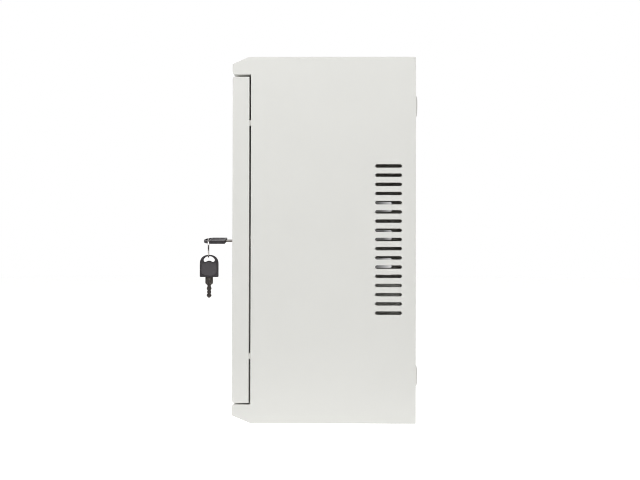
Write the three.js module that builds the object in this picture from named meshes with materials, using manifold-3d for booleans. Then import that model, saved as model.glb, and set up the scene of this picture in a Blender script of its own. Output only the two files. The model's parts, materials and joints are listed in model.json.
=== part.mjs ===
// Compact 10-inch wall cabinet, 9U, for network equipment, with its lock, key and spare key.
// Millimetres. +Z is up, the door faces -Y, the wall is at +Y, X runs across the width.
// Left (-X) and right (+X) are as seen from the front.
// The origin is the middle of the bottom panel's outer face.

import * as THREE from "three";
import { mergeVertices } from "three/addons/utils/BufferGeometryUtils.js";
import Module from "manifold-3d";

const wasm = await Module();
wasm.setup();

// ---------------------------------------------------------------- driving dimensions
const WIDTH = 312;
const HEIGHT = 458;
const FRONT_Y = -115.1; // plane of the door's face and of the two front bands
const BACK_Y = 114.5; // outer face of the back panel
const SHEET = 1.2; // sheet thickness
const GAP = 0.3; // clearance between neighbouring sheets
const OUTER_X = WIDTH / 2; // outer face of a side panel
const INNER_X = OUTER_X - SHEET; // inner face of a side panel
const SHEET_X = INNER_X - GAP; // half width of the sheets between the side panels
const LIP_Y = -91.8; // front face of the lips behind the door
const LIP_X = 142; // inner edge of the side lips
const CORNER_R = 2.8; // bend radius on the outside of the front folds

// Upper and lower end of the case. bandZ is the edge of the front band beside the door,
// lipZ the free edge of the lip, bevel the depth and height of the front bevel.
const TOP = { up: 1, outerZ: HEIGHT, bandZ: 436.2, lipZ: 418, bevel: [20.3, 8.9] };
const BOTTOM = { up: -1, outerZ: 0, bandZ: 23.1, lipZ: 41, bevel: [23.3, 9.5] };
const ENDS = { top: TOP, bottom: BOTTOM };
const SIDES = { left: -1, right: 1 };

// Ventilation slots
const SLOT_PITCH = 11.48;
const SLOT_SIZE = [33.5, 4.4]; // length and width

const RACK_UNIT = 44.45;
const UNIT_BASE_Z = 29; // bottom of unit 1
const UNIT_HOLES = [6.35, RACK_UNIT / 2, RACK_UNIT - 6.35]; // hole heights within a unit
const RAIL_HOLE_X = 118.26; // half of 236.525 mm
const RAIL_Y = -60; // front face of the rails
const RAIL_T = 1.5;
const BRACKET_Z = [60, 398]; // lower, upper

const DOOR_Z = [25.1, 433.1];
const DOOR_X = 155.8; // half width
const DOOR_BACK_Y = -94.1; // rear edge of the door's side folds
const HINGE = [-149.5, -108.6]; // hinge axis, x and y
const HINGE_HOLE_R = 2.8;
const WINDOW_X = [-118, 106];
const WINDOW_Z = [67, 391];
const LOCK = [129, 228.5]; // lock axis, x and z

// ---------------------------------------------------------------- spans and outlines
// A span is [low, high] along one axis. An outline is a list of [u, v] points.
const around = (centre, half) => [centre - half, centre + half];
const grow = ([low, high], by) => [low - by, high + by];

// Span between two distances from the middle, on the left (side -1) or the right (side 1).
const onSide = (side, inner, outer) => (side > 0 ? [inner, outer] : [-outer, -inner]);

// Span between two depths below an end's outer face.
function insideEnd(end, near, far) {
  const outer = end.outerZ - end.up * near;
  const inner = end.outerZ - end.up * far;
  return end.up > 0 ? [inner, outer] : [outer, inner];
}

// Arc from one angle to another, in degrees, both ends included.
function arc([u, v], radius, from, to, segments) {
  return Array.from({ length: segments + 1 }, (_, i) => {
    const angle = THREE.MathUtils.degToRad(from + ((to - from) * i) / segments);
    return [u + radius * Math.cos(angle), v + radius * Math.sin(angle)];
  });
}

const circle = (centre, radius, segments) =>
  arc(centre, radius, 0, 360, segments).slice(0, -1);

const rect = ([u0, u1], [v0, v1]) => [[u0, v0], [u1, v0], [u1, v1], [u0, v1]];

function roundRect([u0, u1], [v0, v1], radius, segments) {
  return [
    ...arc([u1 - radius, v1 - radius], radius, 0, 90, segments),
    ...arc([u0 + radius, v1 - radius], radius, 90, 180, segments),
    ...arc([u0 + radius, v0 + radius], radius, 180, 270, segments),
    ...arc([u1 - radius, v0 + radius], radius, 270, 360, segments),
  ];
}

// Slot with round ends, long along u or v, whichever size is larger.
function stadium([u, v], [sizeU, sizeV], segments) {
  const radius = Math.min(sizeU, sizeV) / 2;
  const reach = Math.max(sizeU, sizeV) / 2 - radius;
  const points = [
    ...arc([reach, 0], radius, -90, 90, segments),
    ...arc([-reach, 0], radius, 90, 270, segments),
  ];
  return points.map(([a, b]) => (sizeV > sizeU ? [u - b, v + a] : [u + a, v + b]));
}

// Centre line with each inner corner replaced by an arc of the given radius.
function roundCorners(line, radius, segments) {
  const points = line.map((point) => new THREE.Vector2(...point));
  const rounded = [points[0]];
  for (let i = 1; i < points.length - 1; i++) {
    const corner = points[i];
    const back = points[i - 1].clone().sub(corner).normalize();
    const ahead = points[i + 1].clone().sub(corner).normalize();
    const half = Math.acos(THREE.MathUtils.clamp(back.dot(ahead), -1, 1)) / 2;
    const tangent = radius / Math.tan(half);
    const start = corner.clone().addScaledVector(back, tangent);
    const end = corner.clone().addScaledVector(ahead, tangent);
    const bisector = back.clone().add(ahead).normalize();
    const centre = corner.clone().addScaledVector(bisector, radius / Math.sin(half));
    const from = start.sub(centre).angle();
    let to = end.sub(centre).angle();
    // Go the short way round.
    if (to - from > Math.PI) to -= 2 * Math.PI;
    if (from - to > Math.PI) to += 2 * Math.PI;
    for (let k = 0; k <= segments; k++) {
      const angle = from + ((to - from) * k) / segments;
      const offset = new THREE.Vector2(Math.cos(angle), Math.sin(angle));
      rounded.push(centre.clone().addScaledVector(offset, radius));
    }
  }
  rounded.push(points.at(-1));
  return rounded;
}

// Outline of a folded sheet: an open centre line with its bends, thickened to both sides.
function fold(line, thickness, innerRadius, segments) {
  const centres = roundCorners(line, innerRadius + thickness / 2, segments);
  const heading = (i) => centres[i + 1].clone().sub(centres[i]).normalize();
  const left = [];
  const right = [];
  centres.forEach((point, i) => {
    const before = heading(Math.max(i - 1, 0));
    const after = heading(Math.min(i, centres.length - 2));
    const along = before.add(after).normalize();
    const reach = thickness / 2 / along.dot(after); // mitred where the line turns
    left.push([point.x - along.y * reach, point.y + along.x * reach]);
    right.push([point.x + along.y * reach, point.y - along.x * reach]);
  });
  return left.concat(right.reverse());
}

// ---------------------------------------------------------------- solids
function solid(geometry) {
  const bare = geometry.index ? geometry.toNonIndexed() : geometry.clone();
  bare.deleteAttribute("normal");
  bare.deleteAttribute("uv");
  const merged = mergeVertices(bare, 1e-4);
  return new wasm.Manifold(
    new wasm.Mesh({
      numProp: 3,
      vertProperties: new Float32Array(merged.attributes.position.array),
      triVerts: new Uint32Array(merged.index.array),
    }),
  );
}

function geometryOf(body) {
  const { numProp, numVert, vertProperties, triVerts } = body.getMesh();
  const positions = new Float32Array(numVert * 3);
  for (let i = 0; i < numVert; i++)
    positions.set(vertProperties.subarray(i * numProp, i * numProp + 3), i * 3);
  const geometry = new THREE.BufferGeometry();
  geometry.setAttribute("position", new THREE.BufferAttribute(positions, 3));
  geometry.setIndex(new THREE.BufferAttribute(new Uint32Array(triVerts), 1));
  const flat = geometry.toNonIndexed();
  flat.computeVertexNormals();
  return flat;
}

function box([x0, x1], [y0, y1], [z0, z1]) {
  const geometry = new THREE.BoxGeometry(x1 - x0, y1 - y0, z1 - z0);
  geometry.translate((x0 + x1) / 2, (y0 + y1) / 2, (z0 + z1) / 2);
  return solid(geometry);
}

function shapeOf(outline, holes = []) {
  const vectors = (points) => points.map((point) => new THREE.Vector2(...point));
  const shape = new THREE.Shape(vectors(outline));
  for (const hole of holes) shape.holes.push(new THREE.Path(vectors(hole)));
  return shape;
}

const extrude = (outline, depth, holes) =>
  new THREE.ExtrudeGeometry(shapeOf(outline, holes), { depth, bevelEnabled: false, steps: 1 });

// Outline in Y, Z run along X.
function alongX(outline, [x0, x1], holes) {
  const geometry = extrude(outline, x1 - x0, holes);
  geometry.applyMatrix4(
    new THREE.Matrix4().set(0, 0, 1, x0, 1, 0, 0, 0, 0, 1, 0, 0, 0, 0, 0, 1),
  );
  return solid(geometry);
}

// Outline in X, Z run along Y.
function alongY(outline, [y0, y1], holes) {
  const geometry = extrude(outline, y1 - y0, holes);
  geometry.applyMatrix4(
    new THREE.Matrix4().set(1, 0, 0, 0, 0, 0, -1, y1, 0, 1, 0, 0, 0, 0, 0, 1),
  );
  return solid(geometry);
}

// Outline in X, Y run along Z.
function alongZ(outline, [z0, z1], holes) {
  const geometry = extrude(outline, z1 - z0, holes);
  geometry.translate(0, 0, z0);
  return solid(geometry);
}

// Round bar along an axis. The centre is given in the other two axes, in x, y, z order.
// The radius is one number, or [at start, at end].
function bar(axis, [u, v], [start, end], radius, segments, phase = 0) {
  const [startR, endR = startR] = [radius].flat();
  const length = end - start;
  const geometry = new THREE.CylinderGeometry(endR, startR, length, segments, 1, false, phase);
  geometry.translate(0, (start + end) / 2, 0);
  if (axis === "y") geometry.translate(u, 0, v);
  if (axis === "z") {
    geometry.rotateX(Math.PI / 2);
    geometry.translate(u, v, 0);
  }
  if (axis === "x") {
    geometry.rotateZ(-Math.PI / 2);
    geometry.translate(0, u, v);
  }
  return solid(geometry);
}

// Bar along X on one side. Positions and radii run from the inner end to the outer end.
function sideBar(side, centre, [inner, outer], radius, segments) {
  const radii = [radius].flat();
  if (side < 0) radii.reverse();
  return bar("x", centre, onSide(side, inner, outer), radii, segments);
}

const unite = (bodies) => bodies.reduce((a, b) => a.add(b));
const cut = (body, tools) => tools.reduce((rest, tool) => rest.subtract(tool), body);

// ---------------------------------------------------------------- materials
const standard = (options) => new THREE.MeshStandardMaterial(options);
const PAINT = standard({ color: 0xe0e0db, roughness: 0.55, metalness: 0.1 });
const ZINC = standard({ color: 0xb4b6b8, roughness: 0.38, metalness: 0.9 });
const STEEL = standard({ color: 0x8d8f92, roughness: 0.3, metalness: 1 });
const NICKEL = standard({ color: 0xc4c4c2, roughness: 0.22, metalness: 1 });
const BLACK = standard({ color: 0x47444a, roughness: 0.6, metalness: 0 });
const RUBBER = standard({ color: 0x1c1c1d, roughness: 0.85, metalness: 0 });
const SOFT_PAD = standard({ color: 0xd9d9d4, roughness: 0.8, metalness: 0 });
const GLASS = standard({
  color: 0x20262a,
  roughness: 0.08,
  metalness: 0,
  transparent: true,
  opacity: 0.45,
});
const NYLON = standard({ color: 0xe8e6df, roughness: 0.6, metalness: 0 });

const root = new THREE.Group();
function add(name, body, material, parent = root) {
  const mesh = new THREE.Mesh(geometryOf(body), material);
  mesh.name = name;
  parent.add(mesh);
}

// Calls place(side, z, suffix) for the lower and upper place on each side.
function eachCorner([lowerZ, upperZ], place) {
  for (const [sideName, side] of Object.entries(SIDES)) {
    place(side, lowerZ, `lower_${sideName}`);
    place(side, upperZ, `upper_${sideName}`);
  }
}

// ---------------------------------------------------------------- side panels
// One sheet each: full outline with the bevelled cheeks, a lip behind the door and 17 slots.
const SIDE_OUTLINE = [
  [BACK_Y, 0],
  [BACK_Y, HEIGHT],
  [FRONT_Y + TOP.bevel[0], HEIGHT],
  [FRONT_Y, HEIGHT - TOP.bevel[1]],
  ...arc([FRONT_Y + CORNER_R, TOP.bandZ + CORNER_R], CORNER_R, 180, 270, 3),
  [LIP_Y, TOP.bandZ],
  [LIP_Y, BOTTOM.bandZ],
  ...arc([FRONT_Y + CORNER_R, BOTTOM.bandZ - CORNER_R], CORNER_R, 90, 180, 3),
  [FRONT_Y, BOTTOM.bevel[1]],
  [FRONT_Y + BOTTOM.bevel[0], 0],
];
const SIDE_SLOTS = { count: 17, y: 80.45, middleZ: 229.5 };

function sidePanel(side) {
  const { count, y, middleZ } = SIDE_SLOTS;
  const slots = Array.from({ length: count }, (_, i) =>
    stadium([y, middleZ + (i - (count - 1) / 2) * SLOT_PITCH], SLOT_SIZE, 5),
  );
  const plate = alongX(SIDE_OUTLINE, onSide(side, INNER_X, OUTER_X), slots);
  const lipX = onSide(side, LIP_X, INNER_X + 0.2);
  const lipZ = grow([BOTTOM.lipZ, TOP.lipZ], -GAP);
  return plate.add(box(lipX, [LIP_Y, LIP_Y + SHEET], lipZ));
}
for (const [name, side] of Object.entries(SIDES))
  add(`side_panel_${name}`, sidePanel(side), PAINT);

// ---------------------------------------------------------------- top and bottom panels
const COVER_SCREW = { x: 85, y: 64, holeR: 2.3 };
const VENTS = { count: 13, y: -38 };
const CABLE_ENTRY = roundRect([-80, 80], [40, 88], 6, 3);

const coverScrewHoles = (zSpan) =>
  Object.values(SIDES).map((side) =>
    bar("z", [side * COVER_SCREW.x, COVER_SCREW.y], zSpan, COVER_SCREW.holeR, 12),
  );

// Each is one folded sheet: lip behind the door, return, front band, bevel, roof or floor.
function endPanel(end) {
  const half = SHEET / 2;
  const cornerShift = 0.4; // sets the centre line's bevel corners back from the outline's
  const { up, outerZ, bandZ, lipZ, bevel } = end;
  const line = [
    [LIP_Y + half, lipZ],
    [LIP_Y + half, bandZ + up * half],
    [FRONT_Y + half, bandZ + up * half],
    [FRONT_Y + half, outerZ - up * (bevel[1] + cornerShift)],
    [FRONT_Y + bevel[0] + cornerShift, outerZ - up * half],
    [BACK_Y, outerZ - up * half],
  ];
  const through = insideEnd(end, -2, 3);
  const vents = Array.from({ length: VENTS.count }, (_, i) => {
    const x = (i - (VENTS.count - 1) / 2) * SLOT_PITCH;
    return alongZ(stadium([x, VENTS.y], SLOT_SIZE.toReversed(), 4), through);
  });
  return cut(alongX(fold(line, SHEET, 1.6, 3), around(0, SHEET_X)), [
    ...vents,
    alongZ(CABLE_ENTRY, through),
    ...coverScrewHoles(through),
    bar("z", HINGE, around(bandZ + up * half, 2), HINGE_HOLE_R, 20),
  ]);
}

// Removable cover over a cable entry, held from inside by two screws.
function cableCover(end) {
  const zSpan = insideEnd(end, SHEET + GAP, 2 * SHEET + GAP);
  const plate = alongZ(roundRect([-92, 92], [32, 96], 4, 3), zSpan);
  return cut(plate, coverScrewHoles(grow(zSpan, 1)));
}

function coverScrew(end, side) {
  const centre = [side * COVER_SCREW.x, COVER_SCREW.y];
  const headDepth = 2 * SHEET + 2 * GAP;
  const headRadii = end.up > 0 ? [3.2, 4] : [4, 3.2]; // narrower towards the inside
  const head = bar("z", centre, insideEnd(end, headDepth, headDepth + 2.6), headRadii, 12);
  return head.add(bar("z", centre, insideEnd(end, 0.2, headDepth + 0.5), 2, 12));
}

for (const [name, end] of Object.entries(ENDS)) add(`${name}_panel`, endPanel(end), PAINT);
for (const [name, end] of Object.entries(ENDS))
  add(`cable_cover_${name}`, cableCover(end), PAINT);
for (const [sideName, side] of Object.entries(SIDES))
  for (const [endName, end] of Object.entries(ENDS))
    add(`cover_screw_${endName}_${sideName}`, coverScrew(end, side), ZINC);

// ---------------------------------------------------------------- back panel
const BACK_Z = [SHEET + GAP, HEIGHT - SHEET - GAP];
const BACK_OPENING = { x: [-75, 75], z: [92, 152] };
// Embossed wall pads: cones from baseR to topR, standing out behind the panel.
const WALL_PAD = { x: 112, z: [54, 404], height: 4.1, baseR: 17, topR: 12.5, wall: 1.1 };

// Presses one pad into the panel and pierces it with a keyhole.
function embossPad(panel, x, z) {
  const { height, baseR, topR, wall } = WALL_PAD;
  const outer = [BACK_Y - 0.1, BACK_Y + height];
  const inner = [BACK_Y - SHEET - 0.1, BACK_Y + height - SHEET];
  const through = [BACK_Y - 2, BACK_Y + height + 1];
  return cut(panel.add(bar("y", [x, z], outer, [baseR, topR], 24)), [
    bar("y", [x, z], inner, [baseR - wall, topR - wall], 24),
    bar("y", [x, z - 4], through, 4.8, 16),
    alongY(stadium([x, z + 2], [5.2, 14], 5), through),
  ]);
}

// A tray with four pads and one cable opening.
function backPanel() {
  const width = around(0, SHEET_X);
  const flangeY = [BACK_Y - 11, BACK_Y - SHEET / 2];
  const opening = roundRect(BACK_OPENING.x, BACK_OPENING.z, 8, 3);
  let panel = unite([
    alongY(rect(width, BACK_Z), [BACK_Y - SHEET, BACK_Y], [opening]),
    box([-SHEET_X, -SHEET_X + SHEET], flangeY, BACK_Z),
    box([SHEET_X - SHEET, SHEET_X], flangeY, BACK_Z),
    box(width, flangeY, [BACK_Z[0], BACK_Z[0] + SHEET]),
    box(width, flangeY, [BACK_Z[1] - SHEET, BACK_Z[1]]),
  ]);
  for (const side of Object.values(SIDES))
    for (const z of WALL_PAD.z) panel = embossPad(panel, side * WALL_PAD.x, z);
  return panel;
}
add("back_panel", backPanel(), PAINT);

// Rubber edging round the cable opening: a flange on each face and a neck between them.
function cableEdgeTrim() {
  const ring = (by, radius) =>
    roundRect(grow(BACK_OPENING.x, by), grow(BACK_OPENING.z, by), radius, 3);
  const inner = [ring(-2.6, 6)];
  const frontY = BACK_Y - SHEET - GAP;
  const rearY = BACK_Y + GAP;
  return unite([
    alongY(ring(3, 10), [frontY - 1.6, frontY], inner),
    alongY(ring(-GAP, 7.8), grow([frontY, rearY], 0.1), inner),
    alongY(ring(3, 10), [rearY, rearY + 1.2], inner),
  ]);
}
add("cable_edge_trim", cableEdgeTrim(), RUBBER);

// ---------------------------------------------------------------- rail brackets
// C channels on the side walls. The long slots let a rail be set forwards or back.
const BRACKET = { x: 132.4, y: [-76, 98], halfHeight: 15, thickness: 1.5 };
const BRACKET_SLOTS = [[-45, 34], [35, 60]]; // centre y, length

function railBracket(side, z) {
  const { x: innerX, y, halfHeight, thickness } = BRACKET;
  const outerX = SHEET_X;
  const webX = innerX + thickness;
  const flange = halfHeight - thickness; // inner face of a flange
  const profile = [
    [innerX, -halfHeight], [outerX, -halfHeight], [outerX, -flange], [webX, -flange],
    [webX, flange], [outerX, flange], [outerX, halfHeight], [innerX, halfHeight],
  ].map(([across, up]) => [across * side, z + up]);
  const through = onSide(side, innerX - 1, innerX + 3);
  const slots = BRACKET_SLOTS.map(([centreY, length]) =>
    alongX(stadium([centreY, z], [length, 6.6], 5), through),
  );
  return cut(alongY(profile, y), slots);
}
eachCorner(BRACKET_Z, (side, z, suffix) =>
  add(`rail_bracket_${suffix}`, railBracket(side, z), PAINT),
);

// ---------------------------------------------------------------- rack rails
// 10-inch rails, nine units of three square holes.
const RAIL = { units: 9, innerX: 111.2, outerX: 132, z: [24, 434], depth: 30, hole: 9.5 };
const RAIL_SCREW_Y = RAIL_Y + 15;
const railHoleZ = (unit, hole) => UNIT_BASE_Z + RACK_UNIT * unit + UNIT_HOLES[hole];

function rackRail(side) {
  const holes = [];
  for (let unit = 0; unit < RAIL.units; unit++)
    for (let i = 0; i < UNIT_HOLES.length; i++) {
      const half = RAIL.hole / 2;
      holes.push(rect(around(side * RAIL_HOLE_X, half), around(railHoleZ(unit, i), half)));
    }
  const frontX = onSide(side, RAIL.innerX, RAIL.outerX);
  const webX = onSide(side, RAIL.outerX - RAIL_T, RAIL.outerX);
  const front = alongY(rect(frontX, RAIL.z), [RAIL_Y, RAIL_Y + RAIL_T], holes);
  const web = box(webX, [RAIL_Y + 0.2, RAIL_Y + RAIL.depth], RAIL.z);
  return cut(
    front.add(web),
    BRACKET_Z.map((z) => bar("x", [RAIL_SCREW_Y, z], grow(webX, 1), 3.3, 16)),
  );
}
for (const [name, side] of Object.entries(SIDES))
  add(`rack_rail_${name}`, rackRail(side), ZINC);

// Screws and flange nuts that clamp each rail to its brackets.
function railScrew(side, z) {
  const centre = [RAIL_SCREW_Y, z];
  const head = sideBar(side, centre, [126.6, 130.2], [4.6, 5.6], 14);
  return head.add(sideBar(side, centre, [130, 142.5], 2.9, 14));
}

function railNut(side, z) {
  const centre = [RAIL_SCREW_Y, z];
  const flange = sideBar(side, centre, [134.2, 135.6], 6.6, 14);
  const hexagon = sideBar(side, centre, [135.4, 140], 5.4, 6);
  return cut(flange.add(hexagon), [sideBar(side, centre, [133, 141], 3.2, 14)]);
}
eachCorner(BRACKET_Z, (side, z, suffix) => {
  add(`rail_screw_${suffix}`, railScrew(side, z), ZINC);
  add(`rail_nut_${suffix}`, railNut(side, z), ZINC);
});

// ---------------------------------------------------------------- shelf
const SHELF = { halfWidth: 108, earX: 127, z: 134, height: 44, lowHeight: 14, backY: 97 };
const SHELF_SLOT_X = [-75, -45, -15, 15, 45, 75];
const SHELF_HOLE_Z = [railHoleZ(2, 1), railHoleZ(3, 0)]; // rail holes its ears are fixed to

// Tray with high sides, low front and back edges, and an ear on each side.
function shelf() {
  const { halfWidth, earX, z, height, lowHeight, backY } = SHELF;
  const inner = halfWidth - SHEET;
  const width = around(0, halfWidth);
  const frontY = [RAIL_Y - GAP - RAIL_T, RAIL_Y - GAP];
  const depth = [frontY[0], backY];
  const sideZ = [z, z + height];
  const lowZ = [z, z + lowHeight];
  const ear = (side) =>
    alongY(
      rect(onSide(side, inner, earX), sideZ),
      frontY,
      SHELF_HOLE_Z.map((holeZ) => stadium([side * RAIL_HOLE_X, holeZ], [10, 6.6], 4)),
    );
  const tray = unite([
    box(width, depth, [z, z + SHEET]),
    box(onSide(-1, inner, halfWidth), depth, sideZ),
    box(onSide(1, inner, halfWidth), depth, sideZ),
    box(width, [backY - SHEET, backY], lowZ),
    box(width, frontY, lowZ),
    ear(-1),
    ear(1),
  ]);
  const through = grow([z, z + SHEET], 1);
  return cut(
    tray,
    SHELF_SLOT_X.map((x) => alongZ(stadium([x, 20], [5, 90], 4), through)),
  );
}
add("shelf", shelf(), PAINT);

// M6 screws through the shelf's ears and cage nuts behind the rails.
const fromRail = (start, end) => [RAIL_Y + start, RAIL_Y + end];

function shelfScrew(x, z) {
  const head = bar("y", [x, z], fromRail(-5.6, -2.1), [4.2, 5.4], 14);
  return head.add(bar("y", [x, z], fromRail(-2.3, 13), 2.9, 14));
}

function cageNut(x, z) {
  const neck = box(around(x, 4.4), fromRail(0.1, 3), around(z, 4.4));
  const body = box(around(x, 6), fromRail(1.8, 7.6), around(z, 5.2));
  return cut(neck.add(body), [bar("y", [x, z], fromRail(-2, 10), 3.2, 14)]);
}
eachCorner(SHELF_HOLE_Z, (side, z, suffix) => {
  add(`shelf_screw_${suffix}`, shelfScrew(side * RAIL_HOLE_X, z), NICKEL);
  add(`cage_nut_${suffix}`, cageNut(side * RAIL_HOLE_X, z), ZINC);
});

// ---------------------------------------------------------------- small fittings on the case
// Soft stops the closed door rests on, at the right.
const BUFFER_Z = { upper: 375.2, lower: 83.6 };
const BUFFER_Y = grow([DOOR_BACK_Y, LIP_Y], -GAP);
for (const [name, z] of Object.entries(BUFFER_Z))
  add(`door_buffer_${name}`, box([144.5, 155.6], BUFFER_Y, around(z, 3.5)), SOFT_PAD);

// Earth stud with its flange and nut, low on the left wall.
function earthStud() {
  const centre = [40, 32];
  const wallX = -INNER_X + GAP;
  return unite([
    bar("x", centre, [wallX, -140], 3, 14),
    bar("x", centre, [wallX, wallX + 1.4], 7, 16),
    bar("x", centre, [-151.5, -147], 5.6, 6),
  ]);
}
add("earth_stud", earthStud(), STEEL);

// Fixed lower hinge pin with its collar, and the washer the door stands on.
const PIN_R = 2.5;
const lowerPin = bar("z", HINGE, [16, 34], PIN_R, 20);
const lowerCollar = bar("z", HINGE, [18, 21.6], 3.6, 20);
add("hinge_pin_lower", lowerPin.add(lowerCollar), STEEL);

const washer = bar("z", HINGE, [23.4, 24.8], 4.8, 20);
add("hinge_washer", cut(washer, [bar("z", HINGE, [23, 26], 2.75, 20)]), NYLON);

// ---------------------------------------------------------------- door
const fromFace = (start, end) => [FRONT_Y + start, FRONT_Y + end];

// The door's full block, rounded along its front edges and drawn in by inset.
function doorBlock(inset, backY) {
  const x = DOOR_X - inset;
  const [z0, z1] = grow(DOOR_Z, -inset);
  const frontY = FRONT_Y + inset;
  const endR = Math.max(0.8, CORNER_R - inset);
  const sideR = Math.max(0.8, 1.6 - inset); // the side folds are bent tighter
  const sideView = [
    [backY, z0],
    [backY, z1],
    ...arc([frontY + endR, z1 - endR], endR, 90, 180, 3),
    ...arc([frontY + endR, z0 + endR], endR, 180, 270, 3),
  ];
  const topView = [
    [x, backY],
    [-x, backY],
    ...arc([-x + sideR, frontY + sideR], sideR, 180, 270, 3),
    ...arc([x - sideR, frontY + sideR], sideR, 270, 360, 3),
  ];
  return alongX(sideView, [-x, x]).intersect(alongZ(topView, [z0 - 1, z1 + 1]));
}

// A folded tray with returns at the rear, a window, a lock hole and two hinge holes.
function doorFrame() {
  const returnWidth = 11;
  const [z0, z1] = DOOR_Z;
  const trimX = [-DOOR_X - 1, -DOOR_X + SHEET - 0.05]; // edge of the left side fold
  return cut(doorBlock(0, DOOR_BACK_Y), [
    doorBlock(SHEET, DOOR_BACK_Y - SHEET),
    box(
      around(0, DOOR_X - returnWidth),
      [DOOR_BACK_Y - 3, DOOR_BACK_Y + 1],
      grow(DOOR_Z, -returnWidth),
    ),
    box(trimX, [DOOR_BACK_Y - 0.5, DOOR_BACK_Y + 1], grow(DOOR_Z, 1)),
    alongY(roundRect(WINDOW_X, WINDOW_Z, 5, 3), fromFace(-1, 3)),
    bar("y", LOCK, fromFace(-1, 3), 9.7, 24),
    bar("z", HINGE, [z0 - 2, z0 + 3], HINGE_HOLE_R, 20),
    bar("z", HINGE, [z1 - 3, z1 + 2], HINGE_HOLE_R, 20),
  ]);
}
add("door_frame", doorFrame(), PAINT);

// Safety glass behind the opening, its rubber seal and the four clips that hold it.
const GLASS_X = grow(WINDOW_X, 9);
const GLASS_Z = grow(WINDOW_Z, 9);
const GLASS_Y = FRONT_Y + SHEET + 1.4; // front face
add("door_glass", alongY(roundRect(GLASS_X, GLASS_Z, 3, 2), [GLASS_Y, GLASS_Y + 4]), GLASS);

function glassSeal() {
  const outer = roundRect(grow(GLASS_X, -0.5), grow(GLASS_Z, -0.5), 4, 3);
  const inner = roundRect(grow(WINDOW_X, -1.2), grow(WINDOW_Z, -1.2), 4, 3);
  return alongY(outer, grow([FRONT_Y + SHEET, GLASS_Y], -0.25), [inner]);
}
add("glass_seal", glassSeal(), RUBBER);

// Z-shaped clip: one leg on the door's sheet, the other behind the glass.
function glassClip(side, z) {
  const edge = side > 0 ? GLASS_X[1] : GLASS_X[0];
  const doorLegY = FRONT_Y + SHEET + 0.85;
  const glassLegY = GLASS_Y + 4.9;
  const line = [
    [edge + side * 13, doorLegY],
    [edge + side * 1.1, doorLegY],
    [edge + side * 1.1, glassLegY],
    [edge - side * 7, glassLegY],
  ];
  return alongZ(fold(line, 1.1, 0.4, 1), around(z, 9));
}
eachCorner([130, 328], (side, z, suffix) =>
  add(`glass_clip_${suffix}`, glassClip(side, z), ZINC),
);

// ---------------------------------------------------------------- upper hinge pin
const [HINGE_X, HINGE_Y] = HINGE;

// Angled guide for the sprung pin, pierced by it.
function pinGuide() {
  const x = [HINGE_X - 3.4, HINGE_X + 9];
  const frontY = FRONT_Y + SHEET + GAP;
  const plate = box(x, [frontY, frontY + SHEET], [384, 401.5]);
  const shelfPlate = box(x, [frontY, HINGE_Y + 6], [400, 401.5]);
  return cut(plate.add(shelfPlate), [bar("z", HINGE, [398, 403], HINGE_HOLE_R, 20)]);
}
add("hinge_pin_guide", pinGuide(), ZINC);

// Pin with a tapered tip, a collar and a cross handle.
function upperPin() {
  return unite([
    bar("z", HINGE, [391, 441], PIN_R, 20),
    bar("z", HINGE, [441, 442], [PIN_R, 1.6], 20),
    bar("z", HINGE, [419.5, 421.3], 4, 20),
    bar("x", [HINGE_Y, 391.6], [HINGE_X - 1, HINGE_X + 15], 1.6, 12),
  ]);
}
add("hinge_pin_upper", upperPin(), STEEL);

const SPRING = { radius: 3.55, wireR: 0.5, z: [402.3, 418.7], turns: 5.5 };

class Coil extends THREE.Curve {
  getPoint(t) {
    const angle = 2 * Math.PI * SPRING.turns * t;
    const [z0, z1] = SPRING.z;
    return new THREE.Vector3(
      HINGE_X + SPRING.radius * Math.cos(angle),
      HINGE_Y + SPRING.radius * Math.sin(angle),
      z0 + (z1 - z0) * t,
    );
  }
}

function pinSpring() {
  const wire = shapeOf(circle([0, 0], SPRING.wireR, 6));
  const options = { steps: 60, bevelEnabled: false, extrudePath: new Coil() };
  return solid(new THREE.ExtrudeGeometry(wire, options));
}
add("hinge_pin_spring", pinSpring(), STEEL);

// ---------------------------------------------------------------- cam lock
const LOCK_FACE = -2.3; // front of the lock, from the door's face
const AXIS = [0, 0]; // the lock's axis within the turned group
const squareHole = (y) => box([-3.4, 3.4], y, [-3.4, 3.4]);

function lockHousing() {
  const head = bar("y", LOCK, fromFace(LOCK_FACE, -GAP), [10.6, 11.4], 28);
  const barrel = bar("y", LOCK, [FRONT_Y - 0.4, -92.2], 9.3, 24);
  return cut(head.add(barrel), [bar("y", LOCK, [FRONT_Y - 3, -91], 6.3, 24)]);
}
add("lock_housing", lockHousing(), NICKEL);

function lockNut() {
  const hexagon = bar("y", LOCK, fromFace(SHEET + GAP, SHEET + GAP + 4), 13.2, 6, Math.PI / 6);
  return cut(hexagon, [bar("y", LOCK, fromFace(0, 8), 9.6, 24)]);
}
add("lock_nut", lockNut(), ZINC);

// The plug and everything that turns with it stand turned about the lock's axis.
const turned = new THREE.Group();
turned.position.set(LOCK[0], 0, LOCK[1]);
turned.rotation.set(0, THREE.MathUtils.degToRad(12), 0);
root.add(turned);

// Plug with a square tail and a key slot.
function lockPlug() {
  const plug = bar("y", AXIS, [FRONT_Y + LOCK_FACE, -91.4], 6, 24);
  const tail = box([-3.1, 3.1], [-91.6, -85.2], [-3.1, 3.1]);
  return cut(plug.add(tail), [box([-3.4, 3.4], [FRONT_Y - 4, -97], [-1.25, 1.25])]);
}
add("lock_plug", lockPlug(), NICKEL, turned);

function lockCam() {
  const outline = [...arc(AXIS, 7.5, 180, 360, 8), [5, 18], [3.6, 20], [-3.6, 20], [-5, 18]];
  return cut(alongY(outline, [-90.3, -88.1]), [squareHole([-92, -86])]);
}
add("lock_cam", lockCam(), ZINC, turned);

const camNut = cut(bar("y", AXIS, [-87.8, -85.6], 7.2, 6), [squareHole([-89, -84])]);
add("cam_nut", camNut, ZINC, turned);

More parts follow.
